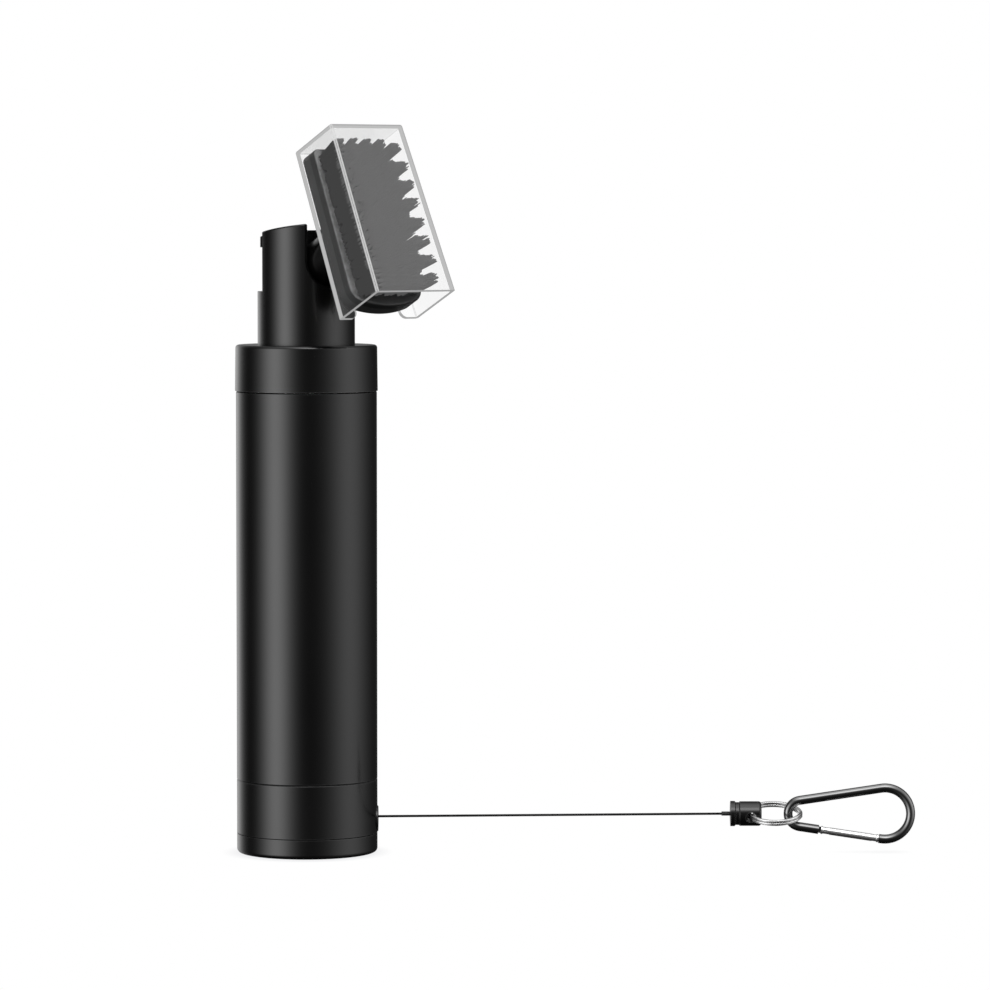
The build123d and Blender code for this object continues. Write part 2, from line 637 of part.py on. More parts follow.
def thumb_press():
    """Tab behind the neck, a leg down inside it and a yoke that pushes the piston rod."""
    tab_low = TAB_TOP - TAB_T
    leg_front = LEG_BACK + LEG_T
    tab = block(-TAB_REACH, leg_front, -TAB_HALF, TAB_HALF, tab_low, TAB_TOP)
    tab = fillet(tab.edges().filter_by(Axis.Z).sort_by(Axis.X)[:2], 1.4)
    tab = fillet(tab.faces().sort_by(Axis.Z)[-1].edges(), 0.5)
    leg = block(LEG_BACK, leg_front, -TAB_HALF, TAB_HALF, YOKE_Z, tab_low)
    yoke = block(LEG_BACK, ROD_R, -TAB_HALF, TAB_HALF, YOKE_Z, YOKE_Z + YOKE_T)
    return facing(tab + leg + yoke - rod(PEG_R, YOKE_Z - 1, YOKE_Z + PEG_L))


# ---------------------------------------------------------------- brush head
def head_arm():
    """Round knuckle with two trunnions and the arm that carries the brush block."""
    body = across_head(Cylinder(KNUCKLE_R, 2 * KNUCKLE_HALF), 0)
    body += across_head(Cylinder(TRUNNION_R, 2 * (SLOT_W / 2 + TRUNNION_L)), 0)
    body += rod(KNUCKLE_HALF - 0.2, 0, ARM_REACH)
    body += rod(ARM_R, KNUCKLE_R + 1, ARM_REACH)
    body -= rod(WATER_R, 0, ARM_REACH + 1)
    return on_head(body - across_head(Cylinder(WATER_R, 2 * SLOT_W), SLOT_W))


def pivot_seal():
    """Rubber ring round the trunnion that the water enters."""
    return on_head(across_head(Cylinder(4.4, WASHER_T) - Cylinder(TRUNNION_R + 0.02, 2), WASHER_AT))


def pivot_washer():
    """Friction washer round the other trunnion."""
    return on_head(across_head(Cylinder(6.0, WASHER_T) - Cylinder(TRUNNION_R + 0.02, 2), -WASHER_AT))


def block_outline():
    """Brush outline: straight top, straight tapered sides and a bowed lower end."""
    low = BLOCK_END + BLOCK_BOW
    sides = Polyline([
        (BLOCK_W_END, low), (BLOCK_W_TOP, BLOCK_TOP), (-BLOCK_W_TOP, BLOCK_TOP), (-BLOCK_W_END, low),
    ])
    bow = ThreePointArc((-BLOCK_W_END, low), (0, BLOCK_END), (BLOCK_W_END, low))
    face = make_face([*sides.edges(), bow])
    corners = face.vertices().sort_by(Axis.Y)
    face = fillet(corners[-2:], 2.0)
    return fillet(face.vertices().sort_by(Axis.Y)[:2], 4.5)


def brush_block():
    """Moulded back of the brush, fixed to the arm."""
    slab = extrude(block_outline(), BLOCK_T)
    slab = fillet(slab.edges().group_by(Axis.Z)[0], 0.5)
    slab -= rod(NOZZLE_R, -1, 9, 0, -COVER_SHIFT)
    for y in BLOCK_SCREW_Y:
        slab -= Pos(0, y, 0) * (rod(SCREW_HEAD_R + 0.2, -1, 1.6) + rod(SCREW_R + 0.1, -1, 9))
    return from_cover(Pos(0, 0, BLOCK_BACK) * slab)


def tuft_plate():
    """Plate that holds the tufts, on the front of the block."""
    plate = extrude(block_outline(), PLATE_T)
    plate = fillet(plate.edges().group_by(Axis.Z)[-1], 0.6)
    plate -= rod(NOZZLE_R, -1, 9, 0, -COVER_SHIFT)
    for y in BLOCK_SCREW_Y:
        plate -= Pos(0, y, 0) * rod(SCREW_R, -1, 1.8)
    return from_cover(Pos(0, 0, BLOCK_BACK + BLOCK_T) * plate)


def block_screws():
    """Two screws that hold the tuft plate to the block."""
    screw = rod(SCREW_HEAD_R, 0.1, 1.6) + rod(SCREW_R, 1.6, BLOCK_T + 1.7) - cross_recess(0, 0.7)
    return Compound([from_cover(Pos(0, y, BLOCK_BACK) * screw) for y in BLOCK_SCREW_Y])


def bristles():
    """The tufts' common envelope: wider at the tips, open round the nozzle."""
    base = BLOCK_BACK + BLOCK_T + PLATE_T
    lower = Pos(0, -0.4, base) * RectangleRounded(FIELD_W, FIELD_L, FIELD_CORNER)
    tip_w, tip_l = FIELD_W + 2 * FIELD_FLARE, FIELD_L + 2 * FIELD_FLARE
    upper = Pos(0, -0.6, BRISTLE_TIP) * RectangleRounded(tip_w, tip_l, FIELD_CORNER)
    return from_cover(loft([lower, upper]) - rod(NOZZLE_R + 0.3, 0, 30, 0, -COVER_SHIFT))


def water_nozzle():
    """Tube from the arm's bore to among the bristles."""
    return on_head(ring(NOZZLE_R, NOZZLE_R - 0.7, ARM_REACH, ARM_REACH + BLOCK_T + PLATE_T + 4.0))


def cover_shell(inset, lower_extra):
    """Tapered box between the closed top end and the open lower end."""
    half = COVER_L / 2
    ends = ((half - inset, COVER_W_TOP, COVER_D_TOP), (-half - lower_extra, COVER_W_END, COVER_D_END))
    corner = COVER_CORNER * (0.5 if inset else 1)
    faces = []
    for height, width, depth in ends:
        plane = Plane(origin=(0, height, 0), x_dir=(1, 0, 0), z_dir=(0, -1, 0))
        outline = RectangleRounded(width - 2 * inset, depth - 2 * inset, corner)
        faces.append(plane * Pos(0, depth / 2, 0) * outline)
    return loft(faces)


def is_tab_corner(edge):
    """True for the lower corners of the back wall beside the arm's slot."""
    middle = edge.center()
    beside_slot = abs(abs(middle.X) - COVER_SLOT_HALF) < 0.1
    return beside_slot and middle.Y < 1 - COVER_L / 2 and middle.Z < COVER_WALL + 0.1


def brush_cover():
    """Clear cap, open below, with a slot in its back wall for the arm."""
    shell = cover_shell(0, 0)
    shell = fillet(shell.edges().group_by(Axis.Y)[-1], COVER_CORNER - 0.1)
    shell -= cover_shell(COVER_WALL, 1)
    cut_depth = COVER_WALL + 0.6
    slot = block(-COVER_SLOT_HALF, COVER_SLOT_HALF, -COVER_L, 1.0, -1, cut_depth)
    shell -= slot + Pos(0, 1.0, 0) * rod(COVER_SLOT_HALF, -1, cut_depth)
    tab_corners = shell.edges().filter_by(Axis.Z).filter_by(is_tab_corner)
    return from_cover(fillet(tab_corners, 2.0))


# ---------------------------------------------------------------- write the parts
PARTS = (
    bottle_shell, water_reservoir, reel_housing, bottom_cap, bottom_screws, cord_eyelet,
    reel_axle, power_spring, reel_spool, wound_cord, pull_cord, cord_sleeve, cord_ferrule,
    split_ring, carabiner_body, gate_pin, carabiner_gate, gate_spring, collar, neck_housing,
    mouth_gasket, pump_cylinder, riser_tube, outlet_valve, dip_tube, return_spring, inlet_ball,
    piston_rod, piston_seal, thumb_press, head_arm, pivot_seal, pivot_washer, brush_block,
    tuft_plate, block_screws, bristles, water_nozzle, brush_cover,
)

for make in PARTS:
    save(make(), make.__name__)
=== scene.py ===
"""Looks for the club groove brush: materials, bristle filaments, cord, studio and camera.

Everything is in metres in the CAD frame: origin at the centre of the bottle's bottom face,
+Z up, +X towards the side on which the pull cord leaves the reel.
"""
import json
import math
import random

import bpy
import numpy as np
from mathutils import Matrix, Vector


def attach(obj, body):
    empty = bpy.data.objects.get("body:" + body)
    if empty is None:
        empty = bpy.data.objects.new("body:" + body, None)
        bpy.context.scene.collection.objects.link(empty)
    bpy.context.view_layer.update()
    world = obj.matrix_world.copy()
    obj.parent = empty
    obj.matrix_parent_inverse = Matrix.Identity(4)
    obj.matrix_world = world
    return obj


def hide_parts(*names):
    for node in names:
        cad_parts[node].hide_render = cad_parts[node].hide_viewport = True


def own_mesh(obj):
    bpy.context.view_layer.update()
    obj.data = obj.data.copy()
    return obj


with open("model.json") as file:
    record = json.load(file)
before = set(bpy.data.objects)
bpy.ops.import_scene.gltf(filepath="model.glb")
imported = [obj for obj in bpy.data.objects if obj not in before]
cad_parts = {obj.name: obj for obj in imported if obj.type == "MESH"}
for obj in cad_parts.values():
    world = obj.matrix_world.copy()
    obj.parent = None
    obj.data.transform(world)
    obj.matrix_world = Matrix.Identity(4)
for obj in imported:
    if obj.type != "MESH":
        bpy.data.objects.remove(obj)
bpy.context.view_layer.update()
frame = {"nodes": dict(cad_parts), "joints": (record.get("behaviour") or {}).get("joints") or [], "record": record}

MM = 0.001
SMOOTH_ANGLE = math.radians(32)


# ---------------------------------------------------------------- frame look-ups
def joint(name):
    """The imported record's joint of that name."""
    return next(j for j in frame["joints"] if j["name"] == name)


def head_matrix():
    """The brush head's local frame: X across, Y up the brush, Z out of the bristles."""
    across = -Vector(joint("head_tilt")["axis"])
    up = Vector(joint("cover_slide")["axis"])
    out = across.cross(up)
    matrix = Matrix((across, up, out)).transposed().to_4x4()
    matrix.translation = Vector(joint("head_tilt")["pos_m"])
    return matrix


def local_box(node, matrix):
    """Lowest and highest corner of a CAD node in a local frame."""
    inverse = matrix.inverted()
    points = np.array([inverse @ v.co for v in frame["nodes"][node].data.vertices])
    return Vector(points.min(0)), Vector(points.max(0))


# ---------------------------------------------------------------- mesh helpers
def add_mesh(name, verts, faces, material):
    """A new object from plain lists of vertices and faces."""
    mesh = bpy.data.meshes.new(name)
    mesh.from_pydata(verts, [], faces)
    mesh.validate()
    mesh.shade_smooth()
    mesh.materials.append(material)
    obj = bpy.data.objects.new(name, mesh)
    bpy.context.scene.collection.objects.link(obj)
    return obj


def tube(points, radii, sides):
    """Vertices and faces of a closed round tube along a list of points."""
    points = [Vector(p) for p in points]
    verts, faces = [], []
    side = None
    for i, point in enumerate(points):
        ahead = points[min(i + 1, len(points) - 1)]
        behind = points[max(i - 1, 0)]
        along = (ahead - behind).normalized()
        if side is None:
            side = along.orthogonal().normalized()
        side = (side - along * side.dot(along)).normalized()
        other = along.cross(side)
        for k in range(sides):
            angle = 2 * math.pi * k / sides
            verts.append(point + (side * math.cos(angle) + other * math.sin(angle)) * radii[i])
    for i in range(len(points) - 1):
        for k in range(sides):
            a = i * sides + k
            b = i * sides + (k + 1) % sides
            faces.append((a, b, b + sides, a + sides))
    faces.append(tuple(reversed(range(sides))))
    faces.append(tuple(range(len(verts) - sides, len(verts))))
    return verts, faces


# ---------------------------------------------------------------- material helpers
MIX_FACTOR, MIX_FIRST, MIX_SECOND, MIX_RESULT = 0, 6, 7, 2      # a colour mix node's sockets
NOISE_ROUGHNESS = 0.55
NOISE_RANGE = (0.3, 0.7)            # nearly all noise values lie in it
SHARP_TURN = (0.88, 0.995)          # cosines of the turn at a worn edge and beside it


class Graph:
    """A node tree with short calls for adding and joining nodes."""

    def __init__(self, tree):
        self.tree = tree
        self.tree.nodes.clear()

    def add(self, kind, **settings):
        """A new node with the given settings."""
        node = self.tree.nodes.new(kind)
        for key, value in settings.items():
            setattr(node, key, value)
        return node

    def join(self, source, target):
        """Links an output to an input."""
        self.tree.links.new(source, target)

    def value(self, node, name, value):
        """Sets an input, by name or index, to a value or colour, or joins it to a socket."""
        if isinstance(value, bpy.types.NodeSocket):
            self.join(value, node.inputs[name])
        elif node.inputs[name].type == "RGBA":
            node.inputs[name].default_value = (*value, 1.0)
        else:
            node.inputs[name].default_value = value

    def calculate(self, operation, *values):
        """A maths node; each value is a number or a socket."""
        node = self.add("ShaderNodeMath", operation=operation)
        for index, value in enumerate(values):
            self.value(node, index, value)
        return node.outputs["Value"]

    def dot(self, vector, axis):
        """The length of a vector socket along a fixed axis."""
        node = self.add("ShaderNodeVectorMath", operation="DOT_PRODUCT")
        self.join(vector, node.inputs[0])
        node.inputs[1].default_value = axis
        return node.outputs["Value"]

    def mix(self, factor, first, second):
        """A shader between two shaders."""
        node = self.add("ShaderNodeMixShader")
        self.value(node, "Fac", factor)
        self.join(first, node.inputs[1])
        self.join(second, node.inputs[2])
        return node.outputs["Shader"]

    def glow(self, color):
        """A shader that gives off an even colour."""
        node = self.add("ShaderNodeEmission")
        self.value(node, "Color", color)
        return node.outputs["Emission"]

    def finish(self, shader):
        """Joins a material's shader to its output."""
        self.join(shader, self.add("ShaderNodeOutputMaterial").inputs["Surface"])

    def coords(self):
        """Places on the object, in metres."""
        return self.add("ShaderNodeTexCoord").outputs["Object"]

    def object_normal(self):
        """The surface's direction in the object's own frame."""
        return self.add("ShaderNodeTexCoord").outputs["Normal"]

    def noise(self, size, detail, stretch=(1, 1, 1)):
        """Noise with features about size metres across."""
        mapping = self.add("ShaderNodeMapping")
        mapping.inputs["Scale"].default_value = [s / size for s in stretch]
        self.join(self.coords(), mapping.inputs["Vector"])
        node = self.add("ShaderNodeTexNoise")
        node.inputs["Scale"].default_value = 1.0
        node.inputs["Detail"].default_value = detail
        node.inputs["Roughness"].default_value = NOISE_ROUGHNESS
        self.join(mapping.outputs["Vector"], node.inputs["Vector"])
        return node.outputs["Fac"]

    def spread(self, source, low, high, start=NOISE_RANGE[0], end=NOISE_RANGE[1]):
        """Maps a socket's range, start to end, onto low to high."""
        node = self.add("ShaderNodeMapRange")
        node.inputs["From Min"].default_value = start
        node.inputs["From Max"].default_value = end
        node.inputs["To Min"].default_value = low
        node.inputs["To Max"].default_value = high
        self.join(source, node.inputs["Value"])
        return node.outputs["Result"]

    def blend(self, factor, first, second):
        """A colour between two colours."""
        node = self.add("ShaderNodeMix", data_type="RGBA")
        self.value(node, MIX_FACTOR, factor)
        self.value(node, MIX_FIRST, first)
        self.value(node, MIX_SECOND, second)
        return node.outputs[MIX_RESULT]

    def bump(self, height, strength, distance, normal=None):
        """A normal disturbed by a height; distance is the full height in metres."""
        node = self.add("ShaderNodeBump")
        node.inputs["Strength"].default_value = strength
        node.inputs["Distance"].default_value = distance
        self.join(height, node.inputs["Height"])
        if normal is not None:
            self.join(normal, node.inputs["Normal"])
        return node.outputs["Normal"]

    def edge_mask(self, radius):
        """Bright where the surface turns sharply within the radius."""
        bevel = self.add("ShaderNodeBevel", samples=4)
        bevel.inputs["Radius"].default_value = radius
        geometry = self.add("ShaderNodeNewGeometry")
        alike = self.add("ShaderNodeVectorMath", operation="DOT_PRODUCT")
        self.join(bevel.outputs["Normal"], alike.inputs[0])
        self.join(geometry.outputs["Normal"], alike.inputs[1])
        return self.spread(alike.outputs["Value"], 1.0, 0.0, *SHARP_TURN)

    def principled(self, **inputs):
        """The main shader of a material."""
        names = {"color": "Base Color", "metallic": "Metallic", "roughness": "Roughness",
                 "normal": "Normal", "ior": "IOR", "specular": "Specular IOR Level",
                 "transmission": "Transmission Weight", "subsurface": "Subsurface Weight"}
        node = self.add("ShaderNodeBsdfPrincipled")
        for key, value in inputs.items():
            self.value(node, names[key], value)
        return node.outputs["BSDF"]


def material_graph(name):
    """The node graph of a new, empty material."""
    material = bpy.data.materials.new(name)
    material.use_nodes = True
    g = Graph(material.node_tree)
    g.material = material
    return g


# ---------------------------------------------------------------- materials
CLOUD = 35 * MM             # patches of handling marks on satin parts
WEAR_AND_SHEEN_EDGE = 0.4 * MM        # width of their paler edges, which are partly wear and partly a painted edge highlight
# tone of those paler edges: wear and a painted edge highlight
WEAR_AND_SHEEN_TONE = 0.03


def grey(tone):
    """An even grey of that linear brightness."""
    return (tone, tone, tone)


def satin_black(name, tone, rough, grain, grain_depth):
    """Black plastic or anodised metal: fine even grain, faint handling marks, paler edges that are partly wear and
    partly a painted edge highlight.
    """
    g = material_graph(name)
    cloud = g.noise(CLOUD, 4.0)
    fine = g.noise(grain, 2.0)
    wear_and_sheen = g.edge_mask(WEAR_AND_SHEEN_EDGE)
    base = g.blend(g.spread(cloud, 0.0, 1.0), grey(tone * 0.85), grey(tone * 1.15))
    # paler edges: partly wear, partly a painted edge highlight
    color = g.blend(wear_and_sheen, base, grey(WEAR_AND_SHEEN_TONE))
    g.finish(g.principled(color=color, roughness=g.spread(cloud, rough - 0.015, rough + 0.02),
                          normal=g.bump(fine, 0.2, grain_depth)))
    return g.material


LEDGE_W = 2 * MM            # width of the plate's ledge, and of the painted light's fading edge
LEDGE_FACING = (0.5, 0.9)   # cosines from the way the bristles point, where the painted light starts
# patch size and tone of the painted light on the ledge
LEDGE_LIGHT_PATCH = 2.5 * MM
LEDGE_LIGHT_TONE = 0.4


def plate_with_painted_ledge_light():
    """Black plate with patchy painted light on the narrow ledge beside the tufts, where the bristles' shadow
    falls.
    """
    g = material_graph("plate_black")
    matrix = head_matrix()
    across, _, out = matrix.to_3x3().col
    low, _ = local_box("tuft_plate", matrix)
    edge = low.x + matrix.translation.dot(across)
    ledge = g.spread(g.dot(g.coords(), across), 1.0, 0.0, edge + LEDGE_W, edge + 2 * LEDGE_W)
    front = g.spread(g.dot(g.object_normal(), out), 0.0, 1.0, *LEDGE_FACING)
    # painted light, in patches, on the ledge's faces that point the way the bristles do
    ledge_light = g.calculate("MULTIPLY", g.calculate("MULTIPLY", ledge, front), g.noise(LEDGE_LIGHT_PATCH, 3.0))
    g.finish(g.principled(color=g.blend(ledge_light, grey(0.012), grey(LEDGE_LIGHT_TONE)), roughness=0.5,
                          normal=g.bump(g.noise(0.3 * MM, 2.0), 0.2, 0.02 * MM)))
    return g.material


PAINTED_GLOW_SHARE = 0.82      # share of a packed filament's tone that is a painted glow, standing in for light scattered inside the tuft
TIP_GLOW_TONE = 0.106          # tone of that painted glow at the filaments' tips
WALL_GLOW_TONE = 0.046           # and on the near side of the field, darker as painted shade
WALL_W = (4.0 * MM, 4.6 * MM)       # the near side ends between these places from the field's edge
TIP_H = (2.0 * MM, 1.2 * MM)        # and between these heights below the tips
OWN_NORMAL = 0.12           # how much a filament shows its own roundness


def near_wall(g, matrix):
    """1 on the near side of the bristle field below its tips, else 0."""
    across, _, out = matrix.to_3x3().col
    low, high = local_box("bristles", matrix)
    place = g.add("ShaderNodeVectorMath", operation="SUBTRACT")
    g.join(g.coords(), place.inputs[0])
    place.inputs[1].default_value = matrix.translation
    sideways = g.dot(place.outputs["Vector"], across)
    height = g.dot(place.outputs["Vector"], out)
    near = g.spread(sideways, 1, 0, low.x + WALL_W[0], low.x + WALL_W[1])
    below = g.spread(height, 1, 0, high.z - TIP_H[0], high.z - TIP_H[1])
    return g.calculate("MULTIPLY", near, below)


def bristle_nylon():
    """Dark grey nylon, mostly a painted glow that is pale on the tips and darker on the near side as painted
    shade; packed filaments shade like the block they form, tips and near side apart.
    """
    g = material_graph("bristle_nylon")
    matrix = head_matrix()
    across, _, out = matrix.to_3x3().col
    wall = near_wall(g, matrix)
    geometry = g.add("ShaderNodeNewGeometry")
    turn = g.add("ShaderNodeVectorTransform", vector_type="NORMAL", convert_from="OBJECT",
                 convert_to="WORLD")
    g.join(g.blend(wall, out, -across), turn.inputs["Vector"])
    soft = g.blend(OWN_NORMAL, turn.outputs["Vector"], geometry.outputs["Normal"])
    island = geometry.outputs["Random Per Island"]
    streak = g.noise(0.4 * MM, 2.0, (1, 1, 0.15))
    shaded = g.principled(color=g.blend(island, grey(0.16), grey(0.19)),
                          roughness=g.spread(streak, 0.7, 0.85), specular=0.1,
                          normal=g.bump(streak, 0.1, 0.02 * MM, soft))
    # painted glow: pale on the tips, with painted shade on the near side
    painted_glow = g.glow(g.blend(wall, grey(TIP_GLOW_TONE), grey(WALL_GLOW_TONE)))
    g.finish(g.mix(PAINTED_GLOW_SHARE, shaded, painted_glow))
    return g.material


# cosines between a face's direction and a fixed one, where each band starts and ends
ROUNDING = (0.94, 0.995)        # from the nearest flat face
DARK_LINE = (0.95, 0.99)        # from the middle of the front edge
FRONT_EDGE = (0.72, 0.8)


def rounded_edges(g, across, up, out):
    """1 on the rounded edges between flat faces; also how near the front edge a place is."""
    normal = g.object_normal()
    flat = 0.0
    for axis in (across, up, out):
        flat = g.calculate("MAXIMUM", g.calculate("ABSOLUTE", g.dot(normal, axis)), flat)
    band = g.spread(flat, 1.0, 0.0, *ROUNDING)
    towards_front = g.dot(normal, (out - across).normalized())
    dark_line = g.spread(towards_front, 0.0, 0.9, *DARK_LINE)
    front = g.spread(towards_front, 0.0, 1.0, *FRONT_EDGE)
    return g.calculate("MULTIPLY", band, g.calculate("SUBTRACT", 1.0, dark_line)), front


RIM_H = (6 * MM, 8 * MM)    # the open end's faces lie below these heights
RIM_FACING = (0.8, 0.9)     # cosines from the way the brush points down, where such a face starts


def open_rim(g):
    """1 on the end face of the cover's open end, which gets a painted glow, else 0."""
    matrix = head_matrix()
    up = matrix.to_3x3().col[1]
    low, _ = local_box("brush_cover", matrix)
    facing_down = g.spread(g.dot(g.object_normal(), -up), 0, 1, *RIM_FACING)
    height = g.dot(g.coords(), up)
    end = low.y + matrix.translation.dot(up)
    below = g.spread(height, 1, 0, end + RIM_H[0], end + RIM_H[1])
    return g.calculate("MULTIPLY", facing_down, below)


CLEAR_IOR = 1.3
FLAT_VIEW = (0.5, 0.9)      # share of light that a wall reflects, where the painted glow starts
EDGE_GLOW_TONE = 0.36            # painted glow on the cover's edges, for light they gather
FRONT_EDGE_GLOW_TONE = 0.7       # on the edge nearest the front
TRAPPED_GLOW_TONE = 0.5          # and where it stands for light reflected inside the wall
EDGE_GLOW_SHARE = 0.85           # how much of an edge is that painted glow
HAZE_GLOW_SHARE = 0.012                # how much a flat wall veils what is behind it with a faint painted glow
SHADOW_TINT = (0.93, 0.935, 0.94)


def trapped_light(g):
    """1 where a wall is seen so flatly from inside that it would reflect all light, else 0; a painted glow goes
    there.
    """
    fresnel = g.add("ShaderNodeFresnel")
    fresnel.inputs["IOR"].default_value = CLEAR_IOR
    inside = g.add("ShaderNodeNewGeometry").outputs["Backfacing"]
    return g.calculate("MULTIPLY", g.spread(fresnel.outputs["Fac"], 0, 1, *FLAT_VIEW), inside)


def clear_plastic():
    """Clear moulded cover: faint haze, and pale edges painted as a glow where light stays trapped in the wall."""
    g = material_graph("clear_plastic")
    faint = g.noise(12 * MM, 2.0)
    glass = g.principled(color=grey(0.985), roughness=g.spread(faint, 0.0, 0.03),
                         transmission=1.0, ior=CLEAR_IOR, normal=g.bump(faint, 0.03, 0.2 * MM))
    # haze: a faint painted glow over the glass
    hazy_glow = g.mix(HAZE_GLOW_SHARE, glass, g.glow(grey(0.6)))
    trapped = trapped_light(g)
    rounded, front = rounded_edges(g, *head_matrix().to_3x3().col)
    edge = g.calculate("MAXIMUM", rounded, trapped)
    edge = g.calculate("MAXIMUM", edge, open_rim(g))
    tone = g.blend(front, grey(EDGE_GLOW_TONE), grey(FRONT_EDGE_GLOW_TONE))
    # painted glow on the rounded edges, the open rim and where light is trapped in the wall
    pale = g.glow(g.blend(trapped, tone, grey(TRAPPED_GLOW_TONE)))
    edged = g.mix(g.calculate("MULTIPLY", edge, EDGE_GLOW_SHARE), hazy_glow, pale)
    clear = g.add("ShaderNodeBsdfTransparent")
    g.value(clear, "Color", SHADOW_TINT)
    shadow = g.add("ShaderNodeLightPath").outputs["Is Shadow Ray"]
    g.finish(g.mix(shadow, edged, clear.outputs["BSDF"]))
    return g.material


def metal(name, tone, rough, grain_stretch):
    """Bare metal with fine drawn or brushed lines."""
    g = material_graph(name)
    lines = g.noise(0.3 * MM, 3.0, grain_stretch)
    cloud = g.noise(6 * MM, 2.0)
    g.finish(g.principled(color=g.blend(g.spread(cloud, 0.0, 1.0), grey(tone * 0.9), grey(tone)),
                          metallic=1.0, roughness=g.spread(lines, rough * 0.8, rough * 1.25),
                          normal=g.bump(lines, 0.2, 0.01 * MM)))
    return g.material


def rubber():
    """Matt black rubber."""
    g = material_graph("rubber_black")
    fine = g.noise(0.4 * MM, 3.0)
    g.finish(g.principled(color=g.blend(fine, grey(0.012), grey(0.022)),
                          roughness=g.spread(fine, 0.6, 0.75), normal=g.bump(fine, 0.3, 0.03 * MM)))
    return g.material


def natural_plastic():
    """Milky unpigmented plastic of the parts inside the bottle."""
    g = material_graph("natural_plastic")
    cloud = g.noise(10 * MM, 3.0)
    g.finish(g.principled(color=g.blend(cloud, (0.68, 0.69, 0.66), (0.78, 0.79, 0.76)),
                          roughness=g.spread(cloud, 0.32, 0.42), subsurface=0.15,
                          normal=g.bump(cloud, 0.05, 0.1 * MM)))
    return g.material


BRAID_PER_METRE = 700.0


def braided_cord():
    """Black coated cord with a fine diagonal braid."""
    g = material_graph("braided_cord")
    wave = g.add("ShaderNodeTexWave", wave_type="BANDS", bands_direction="DIAGONAL")
    wave.inputs["Scale"].default_value = BRAID_PER_METRE
    wave.inputs["Distortion"].default_value = 0.6
    g.join(g.coords(), wave.inputs["Vector"])
    strands = wave.outputs["Fac"]
    g.finish(g.principled(color=g.blend(strands, grey(0.003), grey(0.008)), roughness=0.6,
                          specular=0.2, normal=g.bump(strands, 0.1, 0.01 * MM)))
    return g.material


def gloss_black():
    """Glossy anodised black metal of the carabiner and the cord's end piece."""
    g = material_graph("gloss_black")
    cloud = g.noise(4 * MM, 3.0)
    g.finish(g.principled(color=g.blend(cloud, grey(0.15), grey(0.19)), metallic=1.0,
                          roughness=g.spread(cloud, 0.1, 0.14),
                          normal=g.bump(cloud, 0.03, 0.03 * MM)))
    return g.material


# ---------------------------------------------------------------- CAD nodes
def dress_nodes(looks):
    """Gives every carried-over CAD node its material and smooth shading."""
    slots = {s["node"]: s["material_slot"] for s in frame["record"]["subparts"]}
    for name, obj in frame["nodes"].items():
        obj.data.materials.clear()
        obj.data.materials.append(looks.get(name, looks[slots[name]]))
        obj.data.shade_smooth()
        obj.data.set_sharp_from_angle(angle=SMOOTH_ANGLE)


# ---------------------------------------------------------------- bristles
TUFT_COLUMNS = 5
TUFT_ROWS = 8
FILAMENTS = 96                              # in one tuft
FILAMENT_R = 0.2 * MM
FILAMENT_VARIES = (0.85, 1.15)              # thinnest and thickest, as shares of that
TIP_MARGIN = Vector((1.5, 1.95)) * MM       # outermost tip centres, inside the field's tip edge
BASE_MARGIN = Vector((1.4, 2.0)) * MM       # outermost tuft centres, inside its base edge
BASE_R = Vector((1.5, 2.2)) * MM            # a tuft's half widths at the plate
TIP_R = Vector((2.4, 2.8)) * MM             # and at the tips, where neighbours meet
FREE_TIP_R = Vector((1.3, 1.4)) * MM        # tips along the outside of the field
FIELD_FLARE = 0.9 * MM                      # the field is wider at the tips, on each side
TIP_SCATTER = 0.08 * MM                     # unevenness of the cut tips
SAG = 0.1 * MM                              # sideways bow of a filament
TEETH = 4                                   # a tuft's tip ends in this many uneven clumps,
TRIM_LONG = 0.3 * MM                        # up to this much longer
TRIM_SHORT = 0.6 * MM                       # or shorter, in the outer tufts
TRIM_INNER = 0.15 * MM                      # and in the others
CLUMPING = 0.6                              # how far an outer clump draws together at its tip
BRISTLE_SEED = 11
FILAMENT_STEPS = (0, 0.3, 0.6, 0.85, 1)     # places along a filament, from root to tip
FILAMENT_TAPER = (1, 1, 1, 0.95, 0.7)       # its radius there, as a share
FILAMENT_SIDES = 4


def filament(base, tip, sag, radius):
    """One filament from its root to its blunt tip, bowed a little sideways."""
    points = [base + (tip - base) * t + sag * math.sin(math.pi * t) for t in FILAMENT_STEPS]
    return tube(points, [radius * share for share in FILAMENT_TAPER], FILAMENT_SIDES)


def grid_place(index, count, low, high):
    """The place of one row or column between the two outermost ones."""
    return low + (high - low) * index / (count - 1)


def tooth_middle(tooth):
    """The middle of one clump of a tuft, from -1 to 1 across the tuft."""
    return (2 * tooth + 1) / TEETH - 1


def tuft_ends(place, low, high):
    """The middle of a tuft at the plate and at its tip."""
    base = Vector((0, 0, low.z))
    tip = Vector((0, 0, high.z - TRIM_LONG))
    for axis, count in enumerate((TUFT_COLUMNS, TUFT_ROWS)):
        at_base = FIELD_FLARE + BASE_MARGIN[axis]
        at_tip = TIP_MARGIN[axis]
        base[axis] = grid_place(place[axis], count, low[axis] + at_base, high[axis] - at_base)
        tip[axis] = grid_place(place[axis], count, low[axis] + at_tip, high[axis] - at_tip)
    return base, tip


